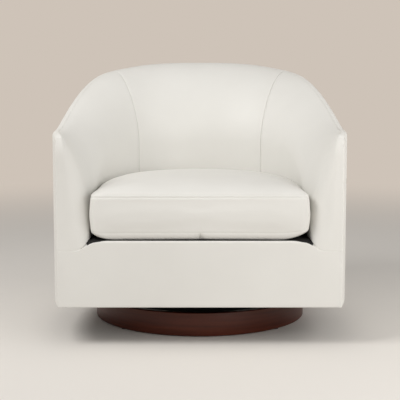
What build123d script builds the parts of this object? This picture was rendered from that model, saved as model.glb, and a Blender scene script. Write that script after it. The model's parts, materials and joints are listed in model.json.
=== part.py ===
from build123d import *
from math import cos, pi, radians, sin
import os

# Swivel barrel chair, millimetres, +Z up. The origin is on the floor under the swivel
# axis, and the open front of the seat faces -Y.

# ---- base -------------------------------------------------------------------------
plinth_radius = 290.0
plinth_wall = 18.0
plinth_height = 60.0
glide_radius = 8.0
glide_height = 2.0
glide_nail_side = 4.0
glide_nail_length = 12.0
glide_count = 4
glide_turn = 45.0
plinth_board_thickness = 18.0
board_fit = 0.2
block_side = 28.0
block_length = 70.0
block_count = 6

# ---- swivel bearing ---------------------------------------------------------------
swivel_height = 35.0
plate_radius = 118.0
plate_thickness = 3.0
race_radius = 78.0
race_width = 26.0
roller_radius = 7.0
roller_length = 18.0
roller_count = 6
roller_clearance = 0.05
cage_thickness = 4.0
cage_width = 28.0
spindle_radius = 9.0
spindle_clearance = 0.05
spindle_flange_radius = 16.0
spindle_flange_thickness = 3.0
bolt_circle_radius = 106.0
bolt_radius = 3.0
bolt_head_radius = 6.0
bolt_head_height = 3.5
bolt_count = 3
bolt_fit = 0.2

# ---- plan of the seat body --------------------------------------------------------
body_bottom = 95.0
front_y = -371.0
widest_y = -180.0
half_width = 379.0
front_half_width = 352.0
back_y = 371.0
outer_roundness = 2.38
arm_span = 109.0
arm_front_span = 76.0
back_span = 220.0
inner_roundness = 2.25
side_draft = 1.5

# ---- section of the wall ----------------------------------------------------------
deck_height = 261.0
arm_height = 526.0
back_height = 707.0
roll_start_rise = 7.0
roll_start_back_rise = 209.0
roll_bulge_front = 0.28
roll_bulge_back = 0.46
roll_settled_y = 85.0
crest_radius = 12.0
crest_lip = 6.0
front_edge_drop = 0.3
seam_angle = 57.0
roll_steps = 7
arm_steps = 3
arm_round_steps = 6
back_steps = 8

# ---- layers of the wall -----------------------------------------------------------
cover_thickness = 2.5
layer_gap = 0.4
outer_board_thickness = 5.0
inner_board_thickness = 5.0
arm_foam_thickness = 20.0
back_foam_thickness = 42.0
front_pad_thickness = 25.0
hem_width = 22.0
hem_thickness = 2.0
outer_board_drop = 40.0
board_roll_steps = 5
rib_thickness = 15.0
rib_angles_arm = (0.0, 25.0, 47.0)
rib_angles_back = (68.0, 90.0, 112.0)
top_rail_width = 12.0
top_rail_height = 40.0

# ---- seat frame -------------------------------------------------------------------
base_board_thickness = 18.0
front_rail_thickness = 25.0
rail_nose_radius = 14.0
rail_cover_depth = 40.0
dust_cover_thickness = 1.0
dust_cover_opening = 250.0
corner_seam_drop = 26.0
corner_seam_flat_x = 312.0
corner_seam_top_x = 268.0
arm_post_thickness = 25.0
ledge_width = 25.0
ledge_thickness = 18.0
webbing_width = 50.0
webbing_thickness = 2.0
webbing_count = 5
webbing_pitch = 88.0
webbing_start = 5.0
cross_webbing_count = 4
cross_webbing_pitch = 95.0
cross_webbing_centre_y = -105.0
deck_pad_thickness = 7.0
deck_cloth_thickness = 1.5

# ---- loose seat cushion -----------------------------------------------------------
cushion_lift = 1.0
cushion_base_height = 18.0
cushion_band_height = 88.0
cushion_crown_height = 31.0
cushion_front_setback = 4.0
cushion_side_gap = 2.0
cushion_crown_depth = 150.0
cushion_base_roll = 45.0
cushion_band_bulge = 2.0
cushion_cover_thickness = 2.0

# ---- worked out from the sizes above ----------------------------------------------
seat_half_width = half_width - arm_span
seat_front_half_width = front_half_width - arm_front_span
seat_back_y = back_y - back_span
roll_start_front = deck_height + roll_start_rise
roll_start_back = deck_height + roll_start_back_rise
cushion_bottom = deck_height + cushion_lift
cushion_band_bottom = cushion_bottom + cushion_base_height
cushion_band_top = cushion_band_bottom + cushion_band_height
cushion_top = cushion_band_top + cushion_crown_height
cushion_front_y = front_y + cushion_front_setback
plinth_top = glide_height + plinth_height
plate_top = plinth_top + swivel_height
base_board_bottom = body_bottom + hem_thickness
base_board_top = base_board_bottom + base_board_thickness
deck_pad_bottom = deck_height - deck_cloth_thickness - deck_pad_thickness
ledge_top = deck_pad_bottom - layer_gap - 2 * webbing_thickness
corner_seam_height = deck_height - corner_seam_drop
skin = cover_thickness + layer_gap
outer_board_back = skin + outer_board_thickness
frame_inset = outer_board_back + layer_gap
front_edge_radius = skin + front_pad_thickness
frame_front = front_y + front_edge_radius
rail_back = frame_front + layer_gap + front_rail_thickness

os.makedirs("parts", exist_ok=True)


def save(part, name):
    part.label = name
    export_step(part, f"parts/{name}.step")


def mix(a, b, share):
    return a + (b - a) * share


def eased(share):
    share = min(max(share, 0.0), 1.0)
    return share * share * (3 - 2 * share)


# ---- plan curves ------------------------------------------------------------------


def reach(angle, half, depth, roundness):
    """Distance from the plan's centre to a superellipse, in a direction in degrees."""
    across, along = abs(cos(radians(angle))) / half, abs(sin(radians(angle))) / depth
    return (across**roundness + along**roundness) ** (-1 / roundness)


def front_share(y):
    return (widest_y - y) / (widest_y - front_y)


def outer_x(y):
    return mix(half_width, front_half_width, front_share(y) ** 2)


def inner_x(y):
    return mix(seat_half_width, seat_front_half_width, front_share(y) ** 2)


# The top edge runs level over the arms, sweeps up and flattens behind the head.
# Each entry is a place along Y, the share of the rise reached there and the slope.
CREST = (
    (-220.0, 0.0, 0.0),
    (28.0, 0.365, 0.45),
    (170.0, 0.73, 0.40),
    (262.0, 0.87, 0.20),
    (back_y, 1.0, 0.12),
)


def crest_height(y):
    y = min(max(y, CREST[0][0]), back_y)
    for (y0, share0, slope0), (y1, share1, slope1) in zip(CREST, CREST[1:]):
        if y <= y1:
            run, t = y1 - y0, (y - y0) / (y1 - y0)
            z0, z1 = mix(arm_height, back_height, share0), mix(arm_height, back_height, share1)
            return (
                z0 * (1 + 2 * t) * (1 - t) ** 2
                + slope0 * run * t * (1 - t) ** 2
                + z1 * t * t * (3 - 2 * t)
                + slope1 * run * t * t * (t - 1)
            )


# ---- stations: upright section planes along the wall ------------------------------


class Station:
    """An upright plane across the wall. u runs outwards from the seat-level inner wall."""

    def __init__(self, x, y, angle, span, inset=0.0):
        self.x, self.y, self.angle, self.span, self.inset = x, y, angle, span, inset
        settled = eased((y - front_y) / (roll_settled_y - front_y))
        self.roll_start = mix(roll_start_front, roll_start_back, settled)
        self.bulge = mix(roll_bulge_front, roll_bulge_back, settled)
        self.foam = mix(arm_foam_thickness, back_foam_thickness, settled)
        self.crest = crest_height(y + (span - crest_radius) * sin(radians(angle)))

    def point(self, u, z):
        heading = radians(self.angle)
        return self.x + u * cos(heading), self.y + u * sin(heading), z

    def roll(self, inset, t):
        """A point of the roll, a curve from the upright wall up and out to the crest."""
        top = self.crest - inset - self.inset * front_edge_drop
        inset, out = inset + self.inset, self.span - crest_radius
        rise, run = top - self.roll_start, out - inset
        handles = (
            (inset, self.roll_start),
            (inset, self.roll_start + self.bulge * rise),
            (out - self.bulge * run, top),
            (out, top),
        )
        weights = ((1 - t) ** 3, 3 * t * (1 - t) ** 2, 3 * t * t * (1 - t), t**3)
        return tuple(sum(w * p[i] for w, p in zip(weights, handles)) for i in (0, 1))

    def roll_at(self, inset, u):
        """Height of the roll's chain of points over a place u."""
        chain = roll_chain(self, inset)
        for (u0, z0), (u1, z1) in zip(chain, chain[1:]):
            if u <= u1:
                return mix(z0, z1, (u - u0) / (u1 - u0))
        return chain[-1][1]

    def outside(self, z, inset):
        """Place u of the outer face at a height, which leans in towards the floor."""
        top = self.crest - crest_radius
        return self.span - side_draft * max(top - z, 0) / (top - body_bottom) - inset


def arm_station(y, inset=0.0):
    return Station(inner_x(y), y, 0.0, outer_x(y) - inner_x(y), inset)


def round_station(angle):
    near = reach(angle, seat_half_width, seat_back_y - widest_y, inner_roundness)
    far = reach(angle, half_width, back_y - widest_y, outer_roundness)
    x, y = near * cos(radians(angle)), widest_y + near * sin(radians(angle))
    return Station(x, y, angle, far - near)


def arm_places(start_y):
    """The stations of the right arm, from a place along Y back to the inside seam."""
    breaks = [mix(frame_front, widest_y, i / arm_steps) for i in range(arm_steps)]
    straight = [start_y] + [y for y in breaks if y > start_y + 1]
    turns = [seam_angle * i / arm_round_steps for i in range(arm_round_steps + 1)]
    return [arm_station(y) for y in straight] + [round_station(a) for a in turns]


def back_places():
    rise = 2 * (90 - seam_angle) / back_steps
    return [round_station(seam_angle + rise * i) for i in range(back_steps + 1)]


def facet_loft(rings):
    """A loft in flat facets through closed rings, each with the same number of points."""

    def facet(*corners):
        return Face(Wire.make_polygon(corners))

    faces = [facet(*rings[0]), facet(*rings[-1])]
    for near, far in zip(rings, rings[1:]):
        for i in range(len(near)):
            a, b, c, d = near[i - 1], near[i], far[i], far[i - 1]
            faces += [facet(a, b, c), facet(a, c, d)]
    return Solid(Shell(faces))


def wall(stations, outline):
    """A loft along the wall, through one closed outline at each station."""
    return facet_loft([[s.point(u, z) for u, z in outline(s)] for s in stations])


def common(solid, cutter):
    with BuildPart() as both:
        add(solid)
        add(cutter, mode=Mode.INTERSECT)
    return both.part


def without(solid, cutter):
    with BuildPart() as rest:
        add(solid)
        add(cutter, mode=Mode.SUBTRACT)
    return rest.part


def both_sides(part, name):
    """Writes a right-hand piece and its mirror image."""
    save(part, f"right_{name}")
    with BuildPart() as other:
        add(part)
        mirror(about=Plane.YZ, mode=Mode.REPLACE)
    save(other.part, f"left_{name}")


# ---- outlines of the wall's layers ------------------------------------------------


def board_front(station):
    return skin + station.foam + layer_gap


def board_back(station):
    return board_front(station) + inner_board_thickness


def cavity_inset(station):
    return board_back(station) + layer_gap


def roll_chain(station, inset, steps=roll_steps):
    """The roll, or its first steps, as a chain of points."""
    return [station.roll(inset, i / roll_steps) for i in range(steps + 1)]


def crest_round(station, inset):
    """Points round the corner between the crest and the outer face."""
    radius, side = crest_radius - inset, station.span - crest_radius
    rise, low = radius - station.inset * front_edge_drop, station.crest - crest_radius
    return [(side + radius * sin(radians(a)), low + rise * cos(radians(a))) for a in (45, 90)]


def lip_height(station):
    return station.crest - crest_radius - crest_lip


def inside_cover_outline(station):
    """Upright, roll, crest and a lip over the outside, one cover thick."""
    side, lip = station.span, lip_height(station)
    return [
        (0, deck_height),
        *roll_chain(station, 0),
        *crest_round(station, 0),
        (side, lip),
        (side - cover_thickness, lip),
        *reversed(crest_round(station, cover_thickness)),
        *reversed(roll_chain(station, cover_thickness)),
        (cover_thickness, deck_height),
    ]


def foam_outline(station):
    """Foam from behind the cover to the inner board, and over the crest."""
    back = skin + station.foam
    low = station.crest - outer_board_drop + layer_gap
    limit = station.outside(low, frame_inset) - layer_gap
    low = max(low, station.roll_at(back, limit))
    chain = [(min(u, limit), min(z, low)) for u, z in roll_chain(station, back)[:-1]]
    return [
        (skin, deck_height + layer_gap),
        *roll_chain(station, skin),
        *crest_round(station, skin),
        (station.outside(low, skin), low),
        (limit, low),
        *reversed(chain),
        (back, deck_height + layer_gap),
    ]


def inner_board_outline(station):
    front, back = board_front(station), board_back(station)
    return [
        (front, base_board_top),
        *roll_chain(station, front, board_roll_steps),
        *reversed(roll_chain(station, back, board_roll_steps)),
        (back, base_board_top),
    ]


def upright_strip(station, low, top, outer, inner):
    """A strip that follows the outer face between two heights and two insets."""
    return [
        (station.outside(low, outer), low),
        (station.outside(top, outer), top),
        (station.outside(top, inner), top),
        (station.outside(low, inner), low),
    ]


def outer_board_outline(station):
    top = station.crest - outer_board_drop
    return upright_strip(station, base_board_bottom, top, skin, outer_board_back)


def outside_cover_outline(station):
    """Outside panel with a hem turned under the base board."""
    low, top = body_bottom, lip_height(station) - layer_gap
    hem_top, hem = low + hem_thickness, cover_thickness + hem_width
    return [
        (station.outside(low, 0), low),
        (station.outside(top, 0), top),
        (station.outside(top, cover_thickness), top),
        (station.outside(hem_top, cover_thickness), hem_top),
        (station.outside(hem_top, hem), hem_top),
        (station.outside(low, hem), low),
    ]


def top_rail_outline(station, room=0.0):
    """The rail sits under the roll, against the outer board."""
    inner = frame_inset + top_rail_width
    under_roll = station.roll_at(cavity_inset(station), station.outside(station.crest, inner))
    top = min(under_roll - layer_gap, station.crest - outer_board_drop)
    low = top - top_rail_height
    return upright_strip(station, low - room, top + 2 * room, frame_inset - room, inner + room)


def rail_notch_outline(station):
    return top_rail_outline(station, layer_gap / 2)


def cavity_outline(station):
    """The hollow between the two boards, which the post and ribs fill."""
    inset = cavity_inset(station)
    top = station.crest - outer_board_drop
    limit = station.outside(top, frame_inset)
    top = min(station.roll_at(inset, limit), top)
    chain = [(u, min(z, top - 1)) for u, z in roll_chain(station, inset, board_roll_steps)]
    return [
        (inset, base_board_top),
        *chain,
        (limit, top),
        (station.outside(base_board_top, frame_inset), base_board_top),
    ]


def ledge_outline(station):
    """A plywood ledge on the inner board that carries the webbing."""
    back, low = board_front(station) - layer_gap, ledge_top - ledge_thickness
    front = back - ledge_width
    return [(front, low), (front, ledge_top), (back, ledge_top), (back, low)]


# ---- the arm front: a flat face that rolls into the inside of the arm --------------


def front_roll(depth):
    """Stations round the front edge, for a surface lying that deep inside the cover."""
    radius = front_edge_radius - depth
    return [
        arm_station(frame_front - radius * cos(turn), radius * (1 - sin(turn)))
        for turn in (0, pi / 6, pi / 3, pi / 2)
    ]


def arm_face_outline(station):
    low = corner_seam_height
    return [
        (station.outside(low, 0), low),
        (station.inset, low),
        *roll_chain(station, 0),
        *crest_round(station, 0),
    ]


def arm_face_hollow_outline(station):
    """What the arm front cover leaves open behind it, out past the outside panel."""
    beyond, low, lip = station.span + 1, corner_seam_height - 1, lip_height(station)
    return [
        (beyond, low),
        (station.inset + cover_thickness, low),
        *roll_chain(station, cover_thickness),
        *crest_round(station, cover_thickness),
        (station.span - cover_thickness, lip),
        (beyond, lip),
    ]


def arm_pad_outline(station):
    low = corner_seam_height
    return [
        (station.outside(low, skin), low),
        (station.inset + skin, low),
        *roll_chain(station, skin),
        *crest_round(station, skin),
    ]


# ---- pieces that lie flat -----------------------------------------------------------


def plan_outline(start_y, place):
    """A closed plan: straight across the front, along the stations round the back."""
    stations = arm_places(start_y) + back_places()[1 : back_steps // 2 + 1]
    right = [station.point(place(station), 0)[:2] for station in stations]
    return right + [(-x, y) for x, y in reversed(right[:-1])]


def flat_sheet(outline, low, thickness, *holes):
    """A flat piece cut to a plan outline, with (radius, circle, count) holes."""
    with BuildPart() as sheet:
        with BuildSketch(Plane.XY.offset(low)):
            with BuildLine():
                Polyline(*outline, close=True)
            make_face()
            for radius, circle, count in holes:
                with PolarLocations(circle, count, start_angle=45):
                    Circle(radius, mode=Mode.SUBTRACT)
        extrude(amount=thickness)
    return sheet.part


def slab(angle, thickness):
    """A thin upright slab through the plan's centre, to cut ribs from the hollow."""
    heading = radians(angle)
    plane = Plane(
        origin=(0, widest_y, 0),
        x_dir=(cos(heading), sin(heading), 0),
        z_dir=(sin(heading), -cos(heading), 0),
    )
    with BuildPart() as cut:
        with BuildSketch(plane):
            with Locations((back_y, back_height / 2)):
                Rectangle(2 * back_y, 2 * back_height)
        extrude(amount=thickness / 2, both=True)
    return cut.part


# ---- base: bent plywood ring, top board and glides ---------------------------------


def make_base():
    inner_radius = plinth_radius - plinth_wall
    glide_ring = plinth_radius - plinth_wall / 2
    with BuildPart() as plinth_ring:
        with BuildSketch(Plane.XY.offset(glide_height)):
            Circle(plinth_radius)
            Circle(inner_radius, mode=Mode.SUBTRACT)
        extrude(amount=plinth_height)
        with BuildSketch(Plane.XY.offset(glide_height)):
            with PolarLocations(glide_ring, glide_count, start_angle=glide_turn):
                Rectangle(glide_nail_side + bolt_fit, glide_nail_side + bolt_fit)
        extrude(amount=glide_nail_length + 1, mode=Mode.SUBTRACT)
    save(plinth_ring.part, "plinth_ring")

    with BuildPart() as floor_glides:
        with BuildSketch(Plane.XY):
            with PolarLocations(glide_ring, glide_count, start_angle=glide_turn):
                Circle(glide_radius)
        extrude(amount=glide_height)
        with BuildSketch(Plane.XY.offset(glide_height)):
            with PolarLocations(glide_ring, glide_count, start_angle=glide_turn):
                Rectangle(glide_nail_side, glide_nail_side)
        extrude(amount=glide_nail_length)
    save(floor_glides.part, "floor_glides")

    board_bottom = plinth_top - plinth_board_thickness
    with BuildPart() as plinth_top_board:
        with BuildSketch(Plane.XY.offset(board_bottom)):
            Circle(inner_radius - board_fit)
            with PolarLocations(bolt_circle_radius, bolt_count, start_angle=45):
                Circle(bolt_radius + bolt_fit, mode=Mode.SUBTRACT)
        extrude(amount=plinth_board_thickness)
    save(plinth_top_board.part, "plinth_top_board")

    block_out = (inner_radius**2 - (block_length / 2) ** 2) ** 0.5 - board_fit
    with BuildPart() as plinth_glue_blocks:
        for i in range(block_count):
            turn = 2 * pi * (i + 0.5) / block_count
            plane = Plane(
                origin=(0, 0, board_bottom),
                x_dir=(cos(turn), sin(turn), 0),
                z_dir=(sin(turn), -cos(turn), 0),
            )
            with BuildSketch(plane):
                with BuildLine():
                    Polyline((block_out, 0), (block_out, -block_side),
                             (block_out - block_side, 0), close=True)
                make_face()
            extrude(amount=block_length / 2, both=True)
    save(plinth_glue_blocks.part, "plinth_glue_blocks")


# ---- swivel: two plates with a caged ring of rollers between them -------------------


def race_plate(flange_low, race_low, race_high, bore):
    """A pressed round plate with a flat race standing on one side."""
    with BuildPart() as plate:
        for radius, low, high in (
            (plate_radius, flange_low, flange_low + plate_thickness),
            (race_radius + race_width / 2, race_low, race_high),
        ):
            with BuildSketch(Plane.XY.offset(low)):
                Circle(radius)
                Circle(bore, mode=Mode.SUBTRACT)
            extrude(amount=high - low)
        with BuildSketch(Plane.XY.offset(flange_low)):
            with PolarLocations(bolt_circle_radius, bolt_count, start_angle=45):
                Circle(bolt_radius + bolt_fit)
        extrude(amount=plate_thickness, mode=Mode.SUBTRACT)
    return plate.part


def bolts(head_low, head_high, shank_low, shank_high):
    with BuildPart() as group:
        with BuildSketch(Plane.XY.offset(head_low)):
            with PolarLocations(bolt_circle_radius, bolt_count, start_angle=45):
                RegularPolygon(bolt_head_radius, 6)
        extrude(amount=head_high - head_low)
        with BuildSketch(Plane.XY.offset(shank_low)):
            with PolarLocations(bolt_circle_radius, bolt_count, start_angle=45):
                Circle(bolt_radius)
        extrude(amount=shank_high - shank_low)
    return group.part


def make_swivel():
    middle = (plinth_top + plate_top) / 2
    opening = roller_radius + roller_clearance
    flange_top, upper_flange = plinth_top + plate_thickness, plate_top - plate_thickness
    lower = race_plate(plinth_top, flange_top, middle - opening, spindle_radius)
    save(lower, "swivel_lower_plate")
    bore = spindle_radius + spindle_clearance
    save(race_plate(upper_flange, middle + opening, upper_flange, bore), "swivel_upper_plate")

    with BuildPart() as swivel_roller_cage:
        with BuildSketch(Plane.XY.offset(middle - cage_thickness / 2)):
            Circle(race_radius + cage_width / 2)
            Circle(race_radius - cage_width / 2, mode=Mode.SUBTRACT)
            with PolarLocations(race_radius, roller_count):
                Rectangle(roller_length + 2 * roller_clearance,
                          2 * (roller_radius + roller_clearance), mode=Mode.SUBTRACT)
        extrude(amount=cage_thickness)
    save(swivel_roller_cage.part, "swivel_roller_cage")

    with BuildPart() as swivel_rollers:
        with Locations(Plane.XY.offset(middle)):
            with PolarLocations(race_radius, roller_count):
                Cylinder(roller_radius, roller_length, rotation=(0, 90, 0))
    save(swivel_rollers.part, "swivel_rollers")

    flange_low = plate_top + layer_gap
    with BuildPart() as swivel_spindle:
        with BuildSketch(Plane.XY.offset(plinth_top)):
            Circle(spindle_radius)
        extrude(amount=flange_low - plinth_top)
        with BuildSketch(Plane.XY.offset(flange_low)):
            Circle(spindle_flange_radius)
        extrude(amount=spindle_flange_thickness)
    save(swivel_spindle.part, "swivel_spindle")

    head = bolt_head_height
    save(bolts(flange_top, flange_top + head, plinth_top - plinth_board_thickness, flange_top),
         "swivel_lower_bolts")
    save(bolts(upper_flange - head, upper_flange, upper_flange, base_board_top),
         "swivel_upper_bolts")


# ---- seat frame ---------------------------------------------------------------------


def make_floor_of_seat():
    bolt_hole = (bolt_radius + bolt_fit, bolt_circle_radius, bolt_count)
    spindle_hole = (spindle_flange_radius + 4, 0, 1)
    board = plan_outline(
        frame_front + layer_gap, lambda place: place.outside(base_board_bottom, frame_inset)
    )
    save(flat_sheet(board, base_board_bottom, base_board_thickness, bolt_hole, spindle_hole),
         "base_board")
    hem = cover_thickness + hem_width + layer_gap
    cloth = plan_outline(front_y + hem, lambda place: place.outside(body_bottom, hem))
    low = base_board_bottom - dust_cover_thickness
    with BuildPart() as dust_cover:
        add(flat_sheet(cloth, low, dust_cover_thickness))
        with BuildSketch(Plane.XY.offset(low)):
            Rectangle(dust_cover_opening, dust_cover_opening)
        extrude(amount=dust_cover_thickness, mode=Mode.SUBTRACT)
    save(dust_cover.part, "dust_cover")


def ledge_far(across, half, far):
    """How far the ledge lies along one axis, at a place across the other."""
    return far * (1 - min(across / half, 1) ** inner_roundness) ** (1 / inner_roundness)


def straps(places, low):
    """Webbing straps lying at one height, each (x, y, length along X, along Y)."""
    with BuildPart() as group:
        for x, y, along_x, along_y in places:
            with BuildSketch(Plane.XY.offset(low)):
                with Locations((x, y)):
                    Rectangle(along_x, along_y)
            extrude(amount=webbing_thickness)
    return group.part


def make_seat_deck():
    rail_half = inner_x(rail_back) + board_front(arm_station(frame_front)) - layer_gap
    with BuildPart() as front_rail:
        with BuildSketch(Plane.XY.offset(base_board_top)):
            with Locations((0, rail_back - front_rail_thickness / 2)):
                Rectangle(2 * rail_half, front_rail_thickness)
        extrude(amount=ledge_top - base_board_top)
        chamfer(front_rail.edges().filter_by(Axis.X).group_by(Axis.Z)[-1], 2)
    save(front_rail.part, "front_rail")

    back_place, side_place = round_station(90), round_station(0)
    reach_back = seat_back_y + board_front(back_place) - ledge_width / 2 - widest_y
    reach_side = seat_half_width + board_front(side_place) - ledge_width / 2
    start = frame_front + webbing_start
    lengthwise, crosswise = [], []
    for i in range(webbing_count):
        x = (i - (webbing_count - 1) / 2) * webbing_pitch
        end = widest_y + ledge_far(abs(x) + webbing_width / 2, reach_side, reach_back)
        lengthwise.append((x, (start + end) / 2, webbing_width, end - start))
    for i in range(cross_webbing_count):
        y = cross_webbing_centre_y + (i - (cross_webbing_count - 1) / 2) * cross_webbing_pitch
        across = max(y + webbing_width / 2 - widest_y, 0)
        half = ledge_far(across, reach_back, reach_side)
        crosswise.append((0, y, 2 * half, webbing_width))
    save(straps(lengthwise, ledge_top), "webbing_lengthwise")
    save(straps(crosswise, ledge_top + webbing_thickness), "webbing_crosswise")

    cloth_bottom = deck_height - deck_cloth_thickness
    deck = plan_outline(
        front_y + rail_cover_depth + layer_gap, lambda place: board_front(place) - 1
    )
    save(flat_sheet(deck, deck_pad_bottom, deck_pad_thickness), "deck_pad")
    save(flat_sheet(deck, cloth_bottom, deck_cloth_thickness), "deck_cloth")


# ---- front rail upholstery ----------------------------------------------------------


def rail_face(inset, room=0.0):
    """Front view of the rail cover: it dips under each arm front in an S-curve."""
    side = arm_station(front_y)
    seam, low = corner_seam_height - inset, body_bottom + (hem_thickness if inset else 0)
    foot, knee = side.x + side.outside(low, inset), side.x + side.outside(seam, inset)
    top = deck_height - rail_nose_radius
    flat, inner = corner_seam_flat_x, corner_seam_top_x
    middle = (flat + inner) / 2
    for s in (1, -1):
        Polyline((0, low - room), (s * (foot + room), low - room),
                 (s * (knee + room), seam + room), (s * flat, seam + room))
        Bezier((s * flat, seam + room), (s * middle, seam + room), (s * middle, top + room),
               (s * inner, top + room))
    Line((-inner, top + room), (inner, top + room))


def nose_section(inset, depth):
    """Side view of the rounded top edge of the rail."""
    front, top, radius = front_y + inset, deck_height - inset, rail_nose_radius - inset
    low = deck_height - rail_nose_radius
    bend = radius * cos(radians(45))
    ThreePointArc((front, low), (front + radius - bend, low + bend), (front + radius, top))
    Polyline((front + radius, top), (front_y + depth, top), (front_y + depth, low),
             (front, low))


def make_front_rail_upholstery():
    with BuildPart() as front_rail_cover:
        with BuildSketch(Plane.XZ.offset(-front_y)):
            with BuildLine():
                rail_face(0)
            make_face()
        extrude(amount=-cover_thickness)
        with BuildSketch(Plane.YZ):
            with BuildLine():
                nose_section(0, rail_cover_depth)
            make_face()
            with BuildLine():
                nose_section(cover_thickness, rail_cover_depth)
            make_face(mode=Mode.SUBTRACT)
        extrude(amount=corner_seam_top_x, both=True)
        side, hem = arm_station(front_y), cover_thickness + hem_width
        with BuildSketch(Plane.XY.offset(body_bottom)):
            with Locations((0, front_y + hem / 2)):
                Rectangle(2 * (side.x + side.outside(body_bottom, hem + layer_gap)), hem)
        extrude(amount=hem_thickness)
    save(front_rail_cover.part, "front_rail_cover")

    with BuildPart() as front_rail_pad:
        with BuildSketch(Plane.XZ.offset(-front_y - skin)):
            with BuildLine():
                rail_face(skin)
            make_face()
        extrude(amount=-front_pad_thickness)
        with BuildSketch(Plane.YZ):
            with BuildLine():
                nose_section(skin, rail_cover_depth)
            make_face()
            with Locations((frame_front, ledge_top + 2 * webbing_thickness)):
                Rectangle(rail_cover_depth, back_y, align=(Align.MIN, Align.MAX),
                          mode=Mode.SUBTRACT)
        extrude(amount=corner_seam_top_x - layer_gap, both=True)
    save(front_rail_pad.part, "front_rail_pad")


# ---- arms ---------------------------------------------------------------------------


def seam_cut(room):
    """The space of the rail cover under an arm front, grown by a little room."""
    with BuildPart() as block:
        with BuildSketch(Plane.XZ.offset(1 - front_y)):
            with BuildLine():
                rail_face(0, room)
            make_face()
        extrude(amount=-(front_edge_radius + 1 + room))
    return block.part


def make_arms():
    stations = arm_places(frame_front)
    cut = seam_cut(layer_gap / 4)
    with BuildPart() as arm_cover:
        add(wall(front_roll(0), arm_face_outline))
        add(wall(front_roll(cover_thickness), arm_face_hollow_outline), mode=Mode.SUBTRACT)
        add(wall(stations, inside_cover_outline))
        add(cut, mode=Mode.SUBTRACT)
    both_sides(arm_cover.part, "arm_cover")
    with BuildPart() as arm_foam:
        add(wall(front_roll(skin), arm_pad_outline))
        add(wall(stations, foam_outline))
        add(cut, mode=Mode.SUBTRACT)
    both_sides(arm_foam.part, "arm_foam")

    framed = arm_places(frame_front + layer_gap)
    both_sides(wall(framed, inner_board_outline), "arm_inner_board")
    both_sides(wall(framed, outer_board_outline), "arm_outer_board")
    both_sides(wall(framed, top_rail_outline), "arm_top_rail")
    outside = arm_places(front_y + cover_thickness)
    both_sides(wall(outside, outside_cover_outline), "outside_arm_cover")
    both_sides(wall(arm_places(rail_back + layer_gap), ledge_outline), "arm_seat_ledge")

    hollow = without(wall(framed, cavity_outline), wall(framed, rail_notch_outline))
    with BuildPart() as post_block:
        with BuildSketch(Plane.XY):
            with Locations((0, frame_front)):
                Rectangle(2 * half_width, 2 * arm_post_thickness)
        extrude(amount=back_height)
    both_sides(common(hollow, post_block.part), "arm_post")
    with BuildPart() as arm_ribs:
        for angle in rib_angles_arm:
            add(common(hollow, slab(angle, rib_thickness)))
    both_sides(arm_ribs.part, "arm_ribs")


# ---- back ---------------------------------------------------------------------------


def make_back():
    stations = back_places()
    save(wall(stations, inside_cover_outline), "inside_back_cover")
    save(wall(stations, foam_outline), "inside_back_foam")
    save(wall(stations, inner_board_outline), "back_inner_board")
    save(wall(stations, outer_board_outline), "back_outer_board")
    save(wall(stations, outside_cover_outline), "outside_back_cover")
    save(wall(stations, top_rail_outline), "back_top_rail")
    save(wall(stations, ledge_outline), "back_seat_ledge")
    hollow = without(wall(stations, cavity_outline), wall(stations, rail_notch_outline))
    with BuildPart() as back_ribs:
        for angle in rib_angles_back:
            add(common(hollow, slab(angle, rib_thickness)))
    save(back_ribs.part, "back_ribs")


# ---- loose seat cushion -------------------------------------------------------------


def cushion_outline(inset):
    """The plan of the cushion drawn in by an inset, always with as many points."""
    start = cushion_front_y + inset
    straight = [arm_station(mix(start, widest_y, i / arm_steps)) for i in range(arm_steps)]
    stations = straight + arm_places(widest_y - 1)[1:] + back_places()[1 : back_steps // 2 + 1]
    right = [station.point(-cushion_side_gap - inset, 0)[:2] for station in stations]
    return right + [(-x, y) for x, y in reversed(right[:-1])]


def cushion_layer(levels):
    """A loft through the plan of the cushion at each (height, inset)."""
    return facet_loft([[(x, y, z) for x, y in cushion_outline(inset)] for z, inset in levels])


def cushion_form(shrink):
    """The rolled base, the band and the crown, each drawn in by a thickness."""
    rise = cushion_top - cushion_band_top - shrink
    drop = cushion_band_bottom - cushion_bottom - shrink
    base = [(cushion_band_bottom - drop * sin(radians(a)),
             shrink + cushion_base_roll * (1 - cos(radians(a)))) for a in (90, 55, 25, 0)]
    crown = [(cushion_band_top + rise * sin(radians(a)),
              shrink + cushion_crown_depth * (1 - cos(radians(a)))) for a in (0, 25, 50, 75, 90)]
    middle = (cushion_band_bottom + cushion_band_top) / 2
    band = [(cushion_band_bottom, shrink), (middle, shrink - cushion_band_bulge / 2),
            (cushion_band_top, shrink)]
    return [cushion_layer(base), cushion_layer(band), cushion_layer(crown)]


def make_cushion():
    names = ("cushion_bottom_panel", "cushion_band", "cushion_top_panel")
    outer = cushion_form(0.0)
    inner = cushion_form(cushion_cover_thickness)
    for name, whole, hollow in zip(names, outer, inner):
        save(without(whole, hollow), name)
    with BuildPart() as cushion_core:
        for layer in cushion_form(cushion_cover_thickness + layer_gap / 2):
            add(layer)
    save(cushion_core.part, "cushion_core")


make_base()
make_swivel()
make_floor_of_seat()
make_seat_deck()
make_front_rail_upholstery()
make_arms()
make_back()
make_cushion()
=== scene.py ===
"""Swivel barrel chair in ivory faux leather on a low round walnut plinth.

Lengths are in metres in the frame's axes: +Z is up and the seat opens towards -Y. Sizes
come from the frame's boxes where it has them, and the rest are named values below.
"""

import json
from math import cos, exp, pi, radians, sin, sqrt

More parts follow.
